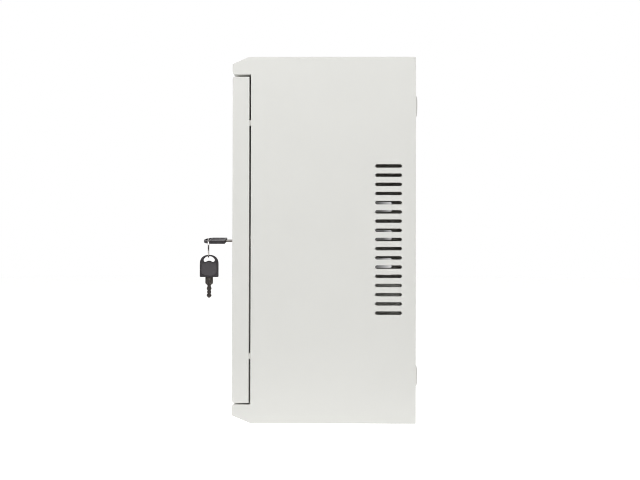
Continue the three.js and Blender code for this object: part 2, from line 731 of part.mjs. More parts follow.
// ---------------------------------------------------------------- keys
// Key's own frame: u across, v from the tip of the grip's arch (0) towards the blade.
const GRIP = { width: 23.3, length: 28.2, thickness: 4, archDepth: 11.6, chamfer: 1 };
const GRIP_END_Y = -127.1; // end of the key's grip that faces the door
const BLADE_T = 1.6;

// Eye of the grip, u and v.
const GRIP_EYE = [
  [0, 1.8], [2.7, 1.95], [5.1, 3.4], [7, 5.4], [7.2, 6.9], [6.3, 8.4],
  [4.6, 8.8], [3.1, 8.4], [1.6, 7.55], [0, 7.4], [-1.6, 7.55], [-3.1, 8.4],
  [-4.6, 8.8], [-6.3, 8.4], [-7.2, 6.9], [-7, 5.4], [-5.1, 3.4], [-2.7, 1.95],
];

// Half of the blade: half width and v counted from the grip's end.
// The shoulder tapers from 7.9 to 10.6, the bitting follows.
const BLADE_HALF = [
  [4.75, 0], [4.75, 7.9], [3.6, 9.2], [2, 10.6], [1.95, 11.7],
  [2.6, 13.3], [3, 14.4], [2.7, 15.6], [2, 16.8], [2, 17.5],
  [2.55, 18.8], [2.5, 19.4], [2, 20.6], [2, 21.2], [2.9, 22.6],
  [3, 23.6], [2.3, 24.9], [1.1, 26], [0.4, 26.4],
];

// Superelliptic arch closed by a straight end with chamfered corners.
function gripOutline() {
  const { width, length, archDepth, chamfer } = GRIP;
  const half = width / 2;
  const steps = 16;
  const power = 2 / 2.3;
  const arch = Array.from({ length: steps + 1 }, (_, i) => {
    const angle = Math.PI - (Math.PI * i) / steps;
    const cos = Math.cos(angle);
    return [
      half * Math.sign(cos) * Math.abs(cos) ** power,
      archDepth - archDepth * Math.abs(Math.sin(angle)) ** power,
    ];
  });
  return [
    ...arch,
    [half, length - chamfer],
    [half - chamfer, length],
    [-half + chamfer, length],
    [-half, length - chamfer],
  ];
}

// Built lying in X, Y: tip of the arch at y = 0, blade towards +Y, centred on z = 0.
function addKey(prefix, parent) {
  const { length, thickness } = GRIP;
  const bladeZ = around(0, BLADE_T / 2);
  const grip = cut(alongZ(gripOutline(), around(0, thickness / 2), [GRIP_EYE]), [
    box([-5, 5], [length - 4.3, length + 1], grow(bladeZ, GAP)),
  ]);
  const mirrored = BLADE_HALF.map(([u, v]) => [-u, v]).reverse();
  const outline = [...BLADE_HALF, ...mirrored].map(([u, v]) => [u, v + length]);
  const root = box([-4.75, 4.75], [length - 4, length + 0.2], bladeZ);
  add(`${prefix}_grip`, grip, BLACK, parent);
  add(`${prefix}_blade`, alongZ(outline, bladeZ).add(root), STEEL, parent);
}

const keyInLock = new THREE.Group();
keyInLock.position.set(0, GRIP_END_Y - GRIP.length, 0);
turned.add(keyInLock);
addKey("key", keyInLock);

// Ring through the grip's eye. It hangs a little askew, turned by yaw about the upright.
const RING = { yaw: THREE.MathUtils.degToRad(9.5), radius: 11.85, wireR: 0.8, drop: 9.55 };
// Where the ring's middle line passes down through the eye. Its centre lies drop below that.
const RING_EYE = [LOCK[0] + 1.9, -149.1, LOCK[1]];
const RING_REACH = Math.sqrt(RING.radius ** 2 - RING.drop ** 2);
const RING_CENTRE = [
  RING_EYE[0] + RING_REACH * Math.cos(RING.yaw),
  RING_EYE[1] + RING_REACH * Math.sin(RING.yaw),
  RING_EYE[2] - RING.drop,
];

function keyRing() {
  const section = circle([RING.radius, 0], RING.wireR, 8);
  const closed = [...section, section[0]].map((point) => new THREE.Vector2(...point));
  const geometry = new THREE.LatheGeometry(closed, 30);
  geometry.rotateZ(RING.yaw);
  geometry.translate(...RING_CENTRE);
  return solid(geometry);
}
add("key_ring", keyRing(), NICKEL);

// Spare key hanging from the ring, its flat faces across X.
// Local +Y (tip to blade) becomes -Z, local Z (thickness) becomes X.
const spareKey = new THREE.Group();
const eyeTopZ = RING_CENTRE[2] - RING.radius + RING.wireR + 0.5;
const spareTipZ = eyeTopZ + GRIP_EYE[0][1];
spareKey.matrixAutoUpdate = false;
spareKey.matrix.set(
  0, 0, 1, RING_CENTRE[0],
  -1, 0, 0, RING_CENTRE[1] + 0.9,
  0, -1, 0, spareTipZ,
  0, 0, 0, 1,
);
root.add(spareKey);
addKey("spare_key", spareKey);

export default root;
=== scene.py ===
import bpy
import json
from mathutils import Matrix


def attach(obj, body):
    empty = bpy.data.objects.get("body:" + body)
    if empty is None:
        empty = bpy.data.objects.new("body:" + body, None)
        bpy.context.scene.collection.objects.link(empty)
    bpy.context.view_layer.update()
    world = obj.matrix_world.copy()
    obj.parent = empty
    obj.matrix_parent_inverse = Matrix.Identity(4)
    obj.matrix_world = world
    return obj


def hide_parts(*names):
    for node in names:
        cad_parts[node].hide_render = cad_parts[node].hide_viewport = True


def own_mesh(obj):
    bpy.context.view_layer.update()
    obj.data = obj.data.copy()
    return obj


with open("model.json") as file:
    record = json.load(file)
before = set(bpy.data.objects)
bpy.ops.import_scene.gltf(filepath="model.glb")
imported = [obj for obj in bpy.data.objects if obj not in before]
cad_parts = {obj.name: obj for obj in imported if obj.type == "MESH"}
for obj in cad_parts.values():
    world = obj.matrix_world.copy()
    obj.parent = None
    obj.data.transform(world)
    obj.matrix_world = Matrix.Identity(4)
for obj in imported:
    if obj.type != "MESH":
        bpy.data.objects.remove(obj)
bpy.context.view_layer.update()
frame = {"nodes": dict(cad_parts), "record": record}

import json
import math

import bmesh
import bpy
from mathutils import Matrix, Vector
from mathutils.geometry import tessellate_polygon

MM = 0.001
scene = bpy.context.scene
nodes = frame["nodes"]

# ------------------------------------------------------------------ driving sizes
SIDES = (("left", -1), ("right", 1))
LEVELS = ("lower", "upper")
CORNERS = [f"{level}_{side}" for side, _ in SIDES for level in LEVELS]

CASE_H = 458
DOOR_FRONT_Y = -115.1
HINGE_X, HINGE_Y = -149.5, -108.6
LOCK_X, LOCK_Z = 129.0, 228.5

RAIL_Y = -60
RAIL_HOLE_X = 118.26
BRACKET_Z = (60, 398)  # lower, upper
RACK_UNIT, RACK_BASE_Z = 44.45, 29
SHELF_HOLE_Z = (RACK_BASE_Z + 2 * RACK_UNIT + RACK_UNIT / 2, RACK_BASE_Z + 3 * RACK_UNIT + 6.35)
COVER_SEAT = 3.0  # cover screw heads, from the top and bottom of the case

KEY_ROLL = math.radians(12)
GRIP_W, GRIP_L, GRIP_T = 23.3, 28.2, 4.0
GRIP_END_Y = -127.1  # blade end of the grip of the key in the lock
BLADE_T = 1.6
RING_R, RING_YAW = 11.85, math.radians(9.5)
RING_WIRE_R = 0.8
RING_CENTRE = (137.819, -147.942, 218.95)

# Light levels
SKY = (0.33, 0.46)  # sky strength, low and overhead
KEY_POWER = 6.0  # W; the fill, front and back lights are shares of it
TOP_POWER = 14.3  # W
FLOOR_GLOW = 0.255  # emission of the whole floor
FLOOR_RING = 0.20  # extra emission close around the cabinet


# ------------------------------------------------------------------ shader nodes
class Shader:
    """A node tree with short calls. Inputs take either a value or a socket."""

    def __init__(self, owner):
        owner.use_nodes = True
        self.tree = owner.node_tree
        self.tree.nodes.clear()

    def node(self, kind, **props):
        node = self.tree.nodes.new(kind)
        for key, value in props.items():
            setattr(node, key, value)
        return node

    def set(self, socket, value):
        if isinstance(value, bpy.types.NodeSocket):
            self.tree.links.new(value, socket)
        else:
            socket.default_value = value

    def feed(self, node, **inputs):
        """Set inputs by name, with _ for a space."""
        for key, value in inputs.items():
            self.set(node.inputs[key.replace("_", " ")], value)

    def math(self, operation, a, b=0.0, clamp=False):
        node = self.node("ShaderNodeMath", operation=operation, use_clamp=clamp)
        self.set(node.inputs[0], a)
        self.set(node.inputs[1], b)
        return node.outputs[0]

    def scaled(self, value, by):
        return self.math("MULTIPLY", value, by)

    def span(self, value, to, source=(0.3, 0.7), smooth=False):
        """Map the source range on to another, clamped at its ends."""
        kind = "SMOOTHSTEP" if smooth else "LINEAR"
        node = self.node("ShaderNodeMapRange", interpolation_type=kind)
        self.feed(node, Value=value, From_Min=source[0], From_Max=source[1],
                  To_Min=to[0], To_Max=to[1])
        return node.outputs["Result"]

    def mix_shaders(self, factor, a, b):
        node = self.node("ShaderNodeMixShader")
        self.set(node.inputs[0], factor)
        self.set(node.inputs[1], a.outputs[0])
        self.set(node.inputs[2], b.outputs[0])
        return node.outputs[0]


class Surface(Shader):
    """A material's node tree."""

    def __init__(self, name):
        self.material = bpy.data.materials.new(name)
        super().__init__(self.material)
        self.output = self.node("ShaderNodeOutputMaterial")
        self.position = self.node("ShaderNodeTexCoord").outputs["Object"]

    def noise(self, scale, detail=2.0, roughness=0.5, stretch=None, distortion=0.0):
        vector = self.position
        if stretch:
            mapping = self.node("ShaderNodeMapping")
            self.feed(mapping, Vector=vector, Scale=stretch)
            vector = mapping.outputs["Vector"]
        node = self.node("ShaderNodeTexNoise")
        self.feed(node, Vector=vector, Scale=scale, Detail=detail, Roughness=roughness,
                  Distortion=distortion)
        return node.outputs["Fac"]

    def mix(self, factor, a, b):
        """Blend two colours; the colour sockets of the node are 6, 7 and output 2."""
        node = self.node("ShaderNodeMix", data_type="RGBA")
        for index, value in ((0, factor), (6, a), (7, b)):
            self.set(node.inputs[index], value)
        return node.outputs[2]

    def edge(self, radius):
        """0 on flat ground, up to 1 within radius (metres) of an edge."""
        bevel = self.node("ShaderNodeBevel", samples=4)
        self.feed(bevel, Radius=radius)
        geometry = self.node("ShaderNodeNewGeometry")
        dot = self.node("ShaderNodeVectorMath", operation="DOT_PRODUCT")
        self.set(dot.inputs[0], bevel.outputs["Normal"])
        self.set(dot.inputs[1], geometry.outputs["Normal"])
        return self.span(dot.outputs["Value"], to=(1.0, 0.0), source=(0.80, 0.995))

    def bump(self, height, strength, distance, normal=None):
        node = self.node("ShaderNodeBump")
        self.feed(node, Strength=strength, Distance=distance, Height=height)
        if normal is not None:
            self.feed(node, Normal=normal)
        return node.outputs["Normal"]

    def finish(self, **inputs):
        principled = self.node("ShaderNodeBsdfPrincipled")
        self.feed(principled, **inputs)
        self.set(self.output.inputs[0], principled.outputs[0])
        return self.material


def grey(level):
    return (level, level, level, 1.0)


def toned(color, gain, lift=0.0):
    return [min(1, v * gain + lift) for v in color[:3]] + [1]


# ------------------------------------------------------------------ materials
def powder_coat(name, color):
    """Faint cloudiness, orange peel, fine grain, smoother edges and a painted highlight along the
    edges.
    """
    g = Surface(name)
    cloud = g.noise(scale=14, detail=3, roughness=0.6)
    tone = g.mix(g.span(cloud, to=(0, 1)), toned(color, gain=0.985), color)
    speck = g.noise(scale=2600, detail=1.0)
    tone = g.mix(g.span(speck, to=(0, 0.10), source=(0.55, 0.72)), tone, toned(color, gain=0.82))
    edge = g.edge(radius=0.0006)
    # Painted highlight: the colour is lightened within the edge radius
    tone = g.mix(g.scaled(edge, by=0.35), tone, toned(color, gain=1.10))
    peel = g.noise(scale=900, roughness=0.45)
    grain = g.noise(scale=3400, detail=1.0)
    roughness = g.math("SUBTRACT", g.span(grain, to=(0.40, 0.56)), g.scaled(edge, by=0.10))
    normal = g.bump(peel, strength=0.16, distance=0.00012)
    normal = g.bump(grain, strength=0.10, distance=0.00004, normal=normal)
    return g.finish(Base_Color=tone, Roughness=roughness, Normal=normal, Specular_IOR_Level=0.45)


def plated(name, color, roughness=(0.24, 0.42), streak=(1, 1, 10), tint=(1.0, 0.97, 0.90),
           depth=0.00003):
    """Plated metal: streaks, patches of tint and a painted highlight along the edges."""
    g = Surface(name)
    patch = g.noise(scale=120, detail=3, roughness=0.6, distortion=0.6)
    tinted = [v * t for v, t in zip(color, tint)] + [1]
    tone = g.mix(g.span(patch, to=(0, 1), source=(0.35, 0.65)), color, tinted)
    edge = g.edge(radius=0.0003)
    # Painted highlight: the colour is lightened near the edges
    tone = g.mix(g.scaled(edge, by=0.4), tone, toned(color, gain=1.25))
    lines = g.noise(scale=700, roughness=0.6, stretch=streak)
    shine = g.span(lines, to=roughness)
    shine = g.math("ADD", shine, g.scaled(g.span(patch, to=(0, 1)), by=0.05))
    normal = g.bump(lines, strength=0.25, distance=depth)
    return g.finish(Base_Color=tone, Roughness=shine, Metallic=1.0, Normal=normal)


def moulded(name, color, roughness, edge_highlight_gain, grain=2200, depth=0.00005):
    """Moulded plastic: fine grain, slight tone drift, smoother edges and a painted highlight along
    the edges.
    """
    g = Surface(name)
    drift = g.noise(scale=90, detail=3, roughness=0.6)
    tone = g.mix(g.span(drift, to=(0, 1)), color, toned(color, gain=0.86))
    edge = g.edge(radius=0.0005)
    # Painted highlight: the colour is lightened near the edges
    tone = g.mix(g.scaled(edge, by=0.35), tone, toned(color, gain=edge_highlight_gain, lift=0.01))
    grains = g.noise(scale=grain, roughness=0.6)
    normal = g.bump(grains, strength=0.35, distance=depth)
    shine = g.math("SUBTRACT", g.span(grains, to=roughness), g.scaled(edge, by=0.12))
    return g.finish(Base_Color=tone, Roughness=shine, Normal=normal)


def rubber(name, color):
    """Extruded rubber: long drawn streaks, dust in the grain."""
    g = Surface(name)
    dust = g.noise(scale=300, detail=4, roughness=0.7)
    tone = g.mix(g.span(dust, to=(0, 0.5), source=(0.5, 0.8)), color, grey(0.08))
    grain = g.noise(scale=1800, stretch=(1, 1, 0.3))
    normal = g.bump(grain, strength=0.4, distance=0.00006)
    roughness = g.span(grain, to=(0.62, 0.86))
    return g.finish(Base_Color=tone, Roughness=roughness, Normal=normal, Specular_IOR_Level=0.3)


def tinted_glass(name):
    """Smoke-tinted glass: mostly a dark filter, with a clear reflection and faint dust."""
    g = Surface(name)
    clear = g.node("ShaderNodeBsdfTransparent")
    g.feed(clear, Color=(0.47, 0.44, 0.415, 1))
    gloss = g.node("ShaderNodeBsdfPrincipled")
    waves = g.noise(scale=9)
    dust = g.noise(scale=420, detail=3, roughness=0.7)
    g.feed(gloss, Base_Color=(0.022, 0.020, 0.018, 1), IOR=1.5,
           Roughness=g.span(dust, to=(0.03, 0.09), source=(0.4, 0.75)),
           Normal=g.bump(waves, strength=0.05, distance=0.0004))
    facing = g.node("ShaderNodeLayerWeight")
    g.feed(facing, Blend=0.25)
    reflect = g.span(facing.outputs["Fresnel"], to=(0.34, 1.0), source=(0.0, 0.9))
    film = g.scaled(g.span(dust, to=(0, 1), source=(0.55, 0.8)), by=0.03)
    reflect = g.math("ADD", reflect, film, clamp=True)
    g.set(g.output.inputs[0], g.mix_shaders(reflect, clear, gloss))
    return g.material


PAINT = powder_coat("powder_coat_light_grey", (0.745, 0.745, 0.715, 1))
ZINC = plated("bright_zinc", (0.62, 0.63, 0.64, 1))
RAIL_ZINC = plated("galvanised_rail", (0.60, 0.615, 0.63, 1), roughness=(0.30, 0.48),
                   streak=(12, 12, 1), depth=0.00002)
NICKEL = plated("nickel_plate", (0.74, 0.725, 0.70, 1), roughness=(0.12, 0.24),
                streak=(1, 8, 1), tint=(0.98, 0.97, 0.95), depth=0.00001)
STEEL = plated("turned_steel", (0.47, 0.46, 0.445, 1), roughness=(0.22, 0.38),
               streak=(8, 8, 1), tint=(0.97, 0.93, 0.88), depth=0.00002)
# The ring is nickel plate like NICKEL, painted darker: painted shade that dims its reflections
RING = plated("key_ring_nickel_painted_darker", (0.56, 0.54, 0.53, 1), roughness=(0.14, 0.26),
              streak=(1, 8, 1), tint=(0.98, 0.97, 0.95), depth=0.00001)
BLADE = plated("key_blade_metal", (0.31, 0.285, 0.27, 1), roughness=(0.24, 0.36),
               streak=(1, 1, 1), tint=(0.95, 0.92, 0.88), depth=0.00002)
# The border and the panel are the same plastic; their difference in colour is painted light and
# shade: the panel painted lighter for its texture catching light, the border painted darker. Their
# roughness and grain differ for real.
GRIP = moulded("key_grip_border", (0.045, 0.040, 0.045, 1), roughness=(0.38, 0.52),
               edge_highlight_gain=1.8)
GRIP_PANEL = moulded("key_grip_textured_panel_painted_lighter", (0.074, 0.067, 0.074, 1),
                     roughness=(0.55, 0.70), edge_highlight_gain=1.4, grain=1500, depth=0.00009)
BUFFER = moulded("soft_buffer", (0.70, 0.70, 0.66, 1), roughness=(0.70, 0.85),
                 edge_highlight_gain=1.05, grain=1500, depth=0.00008)
NYLON = moulded("natural_nylon", (0.76, 0.74, 0.67, 1), roughness=(0.40, 0.55),
                edge_highlight_gain=1.05, grain=1200, depth=0.00003)
RUBBER = rubber("black_rubber", (0.022, 0.022, 0.023, 1))
GLASS = tinted_glass("smoke_glass")

SLOT_MATERIAL = {
    "case_paint": PAINT, "zinc": ZINC, "nickel": NICKEL, "steel": STEEL, "grip_plastic": GRIP,
    "seal_rubber": RUBBER, "buffer": BUFFER, "nylon": NYLON, "safety_glass": GLASS,
}
NODE_SLOT = {s["node"]: s["material_slot"] for s in frame["record"]["subparts"]}


# ------------------------------------------------------------------ CAD pieces that stay
def keep(edge, *names, segments=2, angle=40, material=None):
    """Give CAD pieces their material, clean shading and edges softened by edge mm."""
    for name in names:
        piece = nodes[name]
        mesh = piece.data
        mesh.materials.clear()
        mesh.materials.append(material or SLOT_MATERIAL[NODE_SLOT[name]])
        for attribute in ("custom_normal", "sharp_edge", "sharp_face"):
            if mesh.attributes.get(attribute):
                mesh.attributes.remove(mesh.attributes[attribute])
        mesh.polygons.foreach_set("use_smooth", [True] * len(mesh.polygons))
        weld = piece.modifiers.new("join", "WELD")
        weld.merge_threshold = 0.000002
        flat = piece.modifiers.new("faces", "DECIMATE")
        flat.decimate_type = "DISSOLVE"
        flat.angle_limit = math.radians(0.4)
        bevel = piece.modifiers.new("edges", "BEVEL")
        bevel.width = edge * MM
        bevel.segments = segments
        bevel.limit_method = "ANGLE"
        bevel.angle_limit = math.radians(angle)
        bevel.harden_normals = True
        bevel.use_clamp_overlap = True


keep(0.16, "side_panel_left", "side_panel_right")
keep(0.14, "top_panel", "bottom_panel")
keep(0.25, "back_panel", angle=42)
keep(0.18, "door_frame", angle=42)
keep(0.25, "cable_cover_top", "cable_cover_bottom", "shelf")
keep(0.3, *(f"rail_bracket_{corner}" for corner in CORNERS))
keep(0.2, "rack_rail_left", "rack_rail_right", material=RAIL_ZINC)
keep(0.5, "door_glass", segments=3)
keep(0.2, "glass_seal")
keep(0.5, "cable_edge_trim", segments=3)
keep(0.2, *(f"glass_clip_{corner}" for corner in CORNERS))
keep(0.25, "hinge_pin_guide")
keep(0.2, "hinge_washer")
keep(0.3, "lock_cam")


# ------------------------------------------------------------------ mesh builders, in mm
def soften(bm, width, segments, angle, flat=0.4):
    """Merge faces within flat degrees, then bevel the edges sharper than angle."""
    bmesh.ops.dissolve_limit(bm, angle_limit=math.radians(flat), verts=bm.verts, edges=bm.edges)
    sharp = [e for e in bm.edges
             if len(e.link_faces) == 2 and e.calc_face_angle(0) > math.radians(angle)]
    bmesh.ops.bevel(bm, geom=sharp, offset=width, offset_type="OFFSET", segments=segments,
                    profile=0.5, affect="EDGES", clamp_overlap=True)


def add_piece(name, bm, slot, body="case", place=None, replaces=None, material=None,
              angle=32, bevel=None, segments=3, bevel_angle=35):
    bmesh.ops.remove_doubles(bm, verts=bm.verts, dist=0.0005)
    if bevel:
        soften(bm, bevel, segments, bevel_angle)
    bmesh.ops.triangulate(bm, faces=[f for f in bm.faces if len(f.verts) > 4])
    bmesh.ops.recalc_face_normals(bm, faces=bm.faces)
    mesh = bpy.data.meshes.new(name)
    for vert in bm.verts:
        vert.co *= MM
    bm.to_mesh(mesh)
    bm.free()
    piece = bpy.data.objects.new(name, mesh)
    scene.collection.objects.link(piece)
    if place is not None:
        in_metres = place.copy()
        in_metres.translation = in_metres.translation * MM
        mesh.transform(in_metres)
    mesh.shade_smooth()
    mesh.set_sharp_from_angle(angle=math.radians(angle))
    mesh.materials.append(material or SLOT_MATERIAL[slot])
    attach(piece, body)
    if replaces:
        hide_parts(replaces)
    return piece


def circle(radius, count=32):
    turns = [2 * math.pi * i / count for i in range(count)]
    return [(radius * math.cos(turn), radius * math.sin(turn)) for turn in turns]


def bridge(bm, a, b):
    """Faces between two rings; a ring on the axis repeats one vertex and gives triangles."""
    for i in range(len(a)):
        j = (i + 1) % len(a)
        bm.faces.new(list(dict.fromkeys((a[i], a[j], b[j], b[i]))))


def lathe(profile, count=48):
    """Profile [(radius, z), ...] closed on itself or ending on the axis, turned about Z."""
    bm = bmesh.new()
    rings = []
    for radius, z in profile:
        if radius < 1e-6:
            rings.append([bm.verts.new((0, 0, z))] * count)
        else:
            rings.append([bm.verts.new((x, y, z)) for x, y in circle(radius, count)])
    for a, b in zip(rings, rings[1:]):
        bridge(bm, a, b)
    if profile[0][0] > 1e-6 and profile[-1][0] > 1e-6:
        bridge(bm, rings[-1], rings[0])
    bmesh.ops.recalc_face_normals(bm, faces=bm.faces)
    return bm


def prism(outline, z0, z1, holes=()):
    bm = bmesh.new()
    low, high, flat = [], [], []
    for loop in (outline, *holes):
        a = [bm.verts.new((x, y, z0)) for x, y in loop]
        b = [bm.verts.new((x, y, z1)) for x, y in loop]
        low += a
        high += b
        flat.append([Vector((x, y, 0)) for x, y in loop])
        bridge(bm, a, b)
    for triangle in tessellate_polygon(flat):
        bm.faces.new([low[i] for i in triangle])
        bm.faces.new([high[i] for i in reversed(triangle)])
    bmesh.ops.recalc_face_normals(bm, faces=bm.faces)
    return bm


def box(x0, x1, y0, y1, z0, z1):
    return prism([(x0, y0), (x1, y0), (x1, y1), (x0, y1)], z0, z1)


def boolean(solid, tool, operation="DIFFERENCE"):
    """solid with tool cut from it, joined to it or kept in common; both are used up."""
    objects = []
    for bm in (solid, tool):
        bmesh.ops.remove_doubles(bm, verts=bm.verts, dist=0.0005)
        bmesh.ops.recalc_face_normals(bm, faces=bm.faces)
        mesh = bpy.data.meshes.new("tmp")
        bm.to_mesh(mesh)
        bm.free()
        holder = bpy.data.objects.new("tmp", mesh)
        scene.collection.objects.link(holder)
        objects.append(holder)
    modifier = objects[0].modifiers.new("b", "BOOLEAN")
    modifier.object = objects[1]
    modifier.operation = operation
    modifier.solver = "EXACT"
    bpy.context.view_layer.update()
    depsgraph = bpy.context.evaluated_depsgraph_get()
    result = bpy.data.meshes.new_from_object(objects[0].evaluated_get(depsgraph),
                                             depsgraph=depsgraph)
    out = bmesh.new()
    out.from_mesh(result)
    for holder in objects:
        mesh = holder.data
        bpy.data.objects.remove(holder)
        bpy.data.meshes.remove(mesh)
    bpy.data.meshes.remove(result)
    return out


def joined(*parts):
    """Several bmeshes in one, left as separate shells."""
    out = bmesh.new()
    for bm in parts:
        mesh = bpy.data.meshes.new("tmp")
        bm.to_mesh(mesh)
        bm.free()
        out.from_mesh(mesh)
        bpy.data.meshes.remove(mesh)
    return out


def thread(radius, depth, z0, z1, pitch):
    """Rings of a thread, as lathe profile points from z0 to z1."""
    count = max(1, int(abs(z1 - z0) / pitch))
    step = (z1 - z0) / count
    points = []
    for i in range(count):
        z = z0 + i * step
        points += [(radius - depth, z + 0.08 * step), (radius, z + 0.42 * step),
                   (radius, z + 0.58 * step), (radius - depth, z + 0.92 * step)]
    return points


def sweep(points, section, up=(0, 0, 1)):
    """A section [(across, along up), ...] carried along an open path."""
    bm = bmesh.new()
    last = len(points) - 1
    rings = []
    for i, point in enumerate(points):
        ahead, behind = points[min(i + 1, last)], points[max(i - 1, 0)]
        heading = (Vector(ahead) - Vector(behind)).normalized()
        side = heading.cross(Vector(up)).normalized()
        top = side.cross(heading).normalized()
        rings.append([bm.verts.new(Vector(point) + side * a + top * b) for a, b in section])
    for a, b in zip(rings, rings[1:]):
        bridge(bm, a, b)
    bm.faces.new(rings[0])
    bm.faces.new(list(reversed(rings[-1])))
    bmesh.ops.recalc_face_normals(bm, faces=bm.faces)
    return bm


def along(direction, origin, spin=0.0):
    """Placement with local Z along direction and the local origin at origin."""
    z = Vector(direction).normalized()
    x = Vector((0, 0, 1)).cross(z)
    x = Vector((1, 0, 0)) if x.length < 1e-6 else x.normalized()
    y = z.cross(x)
    place = Matrix((x, y, z)).transposed().to_4x4() @ Matrix.Rotation(spin, 4, "Z")
    place.translation = Vector(origin)
    return place


# ------------------------------------------------------------------ screws and nuts
def cross_cutter(size, depth, top):
    """Four-armed tapered driver recess, its mouth at z = top."""
    def arm(turn):
        width = size * 0.24
        corners = ((-1, -1), (1, -1), (1, 1), (-1, 1))
        bm = bmesh.new()
        floor_loop = [bm.verts.new((x * size * 0.35, y * width * 0.6, top - depth))
                      for x, y in corners]
        mouth = [bm.verts.new((x * size * 1.05, y * width * 1.05, top + 0.3))
                 for x, y in corners]
        bm.faces.new(floor_loop)
        bm.faces.new(mouth)
        bridge(bm, floor_loop, mouth)
        bmesh.ops.recalc_face_normals(bm, faces=bm.faces)
        bm.transform(Matrix.Rotation(turn, 4, "Z"))
        return bm
    return boolean(arm(0), arm(math.pi / 2), "UNION")


def pan_screw(node, size, slot, place, head_r, head_h, shank_r, length, pitch, tip=0.6):
    """Pan-head screw: head from z = 0 up to head_h, shank down to -length."""
    dome = []
    for i in range(7):
        rise = math.radians(90 * i / 6)
        dome.append((head_r - (head_r * 0.42) * (1 - math.cos(rise)),
                     head_h * (0.45 + 0.55 * math.sin(rise))))
    profile = [(0, head_h)] + dome[::-1]
    profile += [(head_r, head_h * 0.2), (head_r - 0.15, 0), (shank_r + 0.25, 0), (shank_r, -0.3)]
    profile += thread(shank_r, 0.28 * pitch, -0.9, -(length - tip), pitch)
    profile += [(shank_r - 0.2, -(length - tip)), (shank_r * 0.6, -length), (0, -length)]
    screw = boolean(lathe(profile, 40), cross_cutter(head_r * 0.52, head_h * 0.95, head_h))
    add_piece(f"{node}_{size}", screw, slot, place=place, replaces=node, angle=38)


def hex_nut(across_flats, z0, z1, hole, count=36, chamfer=0.7):
    """Hexagon nut with turned corners and a countersunk, threaded hole of radius hole."""
    corner_r = across_flats / 2 / math.cos(math.pi / 6)
    face_r = across_flats / 2 + 0.05
    drop = (corner_r - face_r) * 0.6
    blank = lathe([(0, z0 - 0.01), (face_r, z0 - 0.01), (corner_r + 0.3, z0 + drop + 0.2),
                   (corner_r + 0.3, z1 - drop - 0.2), (face_r, z1 + 0.01), (0, z1 + 0.01)], count)
    nut = boolean(prism(circle(corner_r, 6), z0, z1), blank, "INTERSECT")
    bore = [(0, z0 - 0.5), (hole + chamfer, z0 - 0.5), (hole + chamfer, z0), (hole, z0 + chamfer)]
    bore += thread(hole, 0.22, z0 + chamfer, z1 - chamfer, 0.8)
    bore += [(hole, z1 - chamfer), (hole + chamfer, z1), (hole + chamfer, z1 + 0.5), (0, z1 + 0.5)]
    return boolean(nut, lathe(bore, count))


# Half of the folded strip of the cage, from its closed side round one leg: x, z
CAGE_FOLD = [(-5.9, 2.0), (5.9, 2.0), (5.9, 7.5), (3.4, 7.5), (3.4, 6.9), (5.2, 6.9), (5.2, 2.7),
             (-5.2, 2.7), (-5.2, 6.9), (-3.4, 6.9), (-3.4, 7.5), (-5.9, 7.5)]


def flange_nut():
    flange = [(3.05, 0.02), (6.5, 0.02), (6.5, 0.5), (5.0, 1.5), (3.05, 1.5)]  # radius, z
    return boolean(hex_nut(10, 1.3, 5.8, 3.0), lathe(flange, 40), "UNION")


def cage_nut():
    """A square nut held in a folded spring cage whose two legs hook through the rail."""
    cage = prism(CAGE_FOLD, -4.7, 4.7)
    cage.transform(Matrix.Rotation(math.pi / 2, 4, "X"))
    for x0, x1 in ((-4.3, -3.6), (3.6, 4.3)):
        cage = boolean(cage, box(x0, x1, -2.8, 2.8, 0.15, 2.3), "UNION")
    cage = boolean(cage, lathe([(0, 1), (3.5, 1), (3.5, 3.2), (0, 3.2)], 32))
    bore = [(0, 2.5), (3.6, 2.5), (3.6, 2.75), (2.95, 3.4)]
    bore += thread(2.98, 0.25, 3.4, 6.2, 1.0)
    bore += [(2.95, 6.2), (3.6, 6.85), (3.6, 7.2), (0, 7.2)]
    return joined(cage, boolean(box(-4.6, 4.6, -4.6, 4.6, 2.78, 6.8), lathe(bore, 32)))


def corner_fasteners(corner, sx, i):
    """Screws and nuts of the rail at one corner; sx is the side's sign, i 0 low and 1 high."""
    y, z = RAIL_Y + 15, BRACKET_Z[i]
    # The head bears on the inner side of the rail and points to the middle of the cabinet
    pan_screw(f"rail_screw_{corner}", "m6", "zinc",
              along((-sx, 0, 0), (sx * 130.2, y, z), spin=0.4 * i + 0.3),
              head_r=5.5, head_h=3.5, shank_r=2.9, length=12.2, pitch=1.0)
    add_piece(f"flange_nut_{corner}", flange_nut(), "zinc", replaces=f"rail_nut_{corner}",
              place=along((sx, 0, 0), (sx * 134.2, y, z), spin=0.2 + 0.5 * i), angle=30)
    x, z = sx * RAIL_HOLE_X, SHELF_HOLE_Z[i]
    pan_screw(f"shelf_screw_{corner}", "m6", "nickel",
              along((0, -1, 0), (x, -62.15, z), spin=0.7 * i + 0.2 * sx),
              head_r=5.3, head_h=3.3, shank_r=2.9, length=15.0, pitch=1.0)
    add_piece(f"cage_nut_{corner}_sprung", cage_nut(), "zinc", replaces=f"cage_nut_{corner}",
              place=along((0, 1, 0), (x, RAIL_Y, z)), angle=30)


for side, sx in SIDES:
    for i, level in enumerate(LEVELS):
        corner_fasteners(f"{level}_{side}", sx, i)
    for end, facing, z in (("top", -1, CASE_H - COVER_SEAT), ("bottom", 1, COVER_SEAT)):
        pan_screw(f"cover_screw_{end}_{side}", "m4", "zinc",
                  along((0, 0, facing), (sx * 85, 64, z), spin=0.5 * sx + 0.3),
                  head_r=4.0, head_h=2.5, shank_r=2.0, length=2.9, pitch=0.7, tip=0.3)

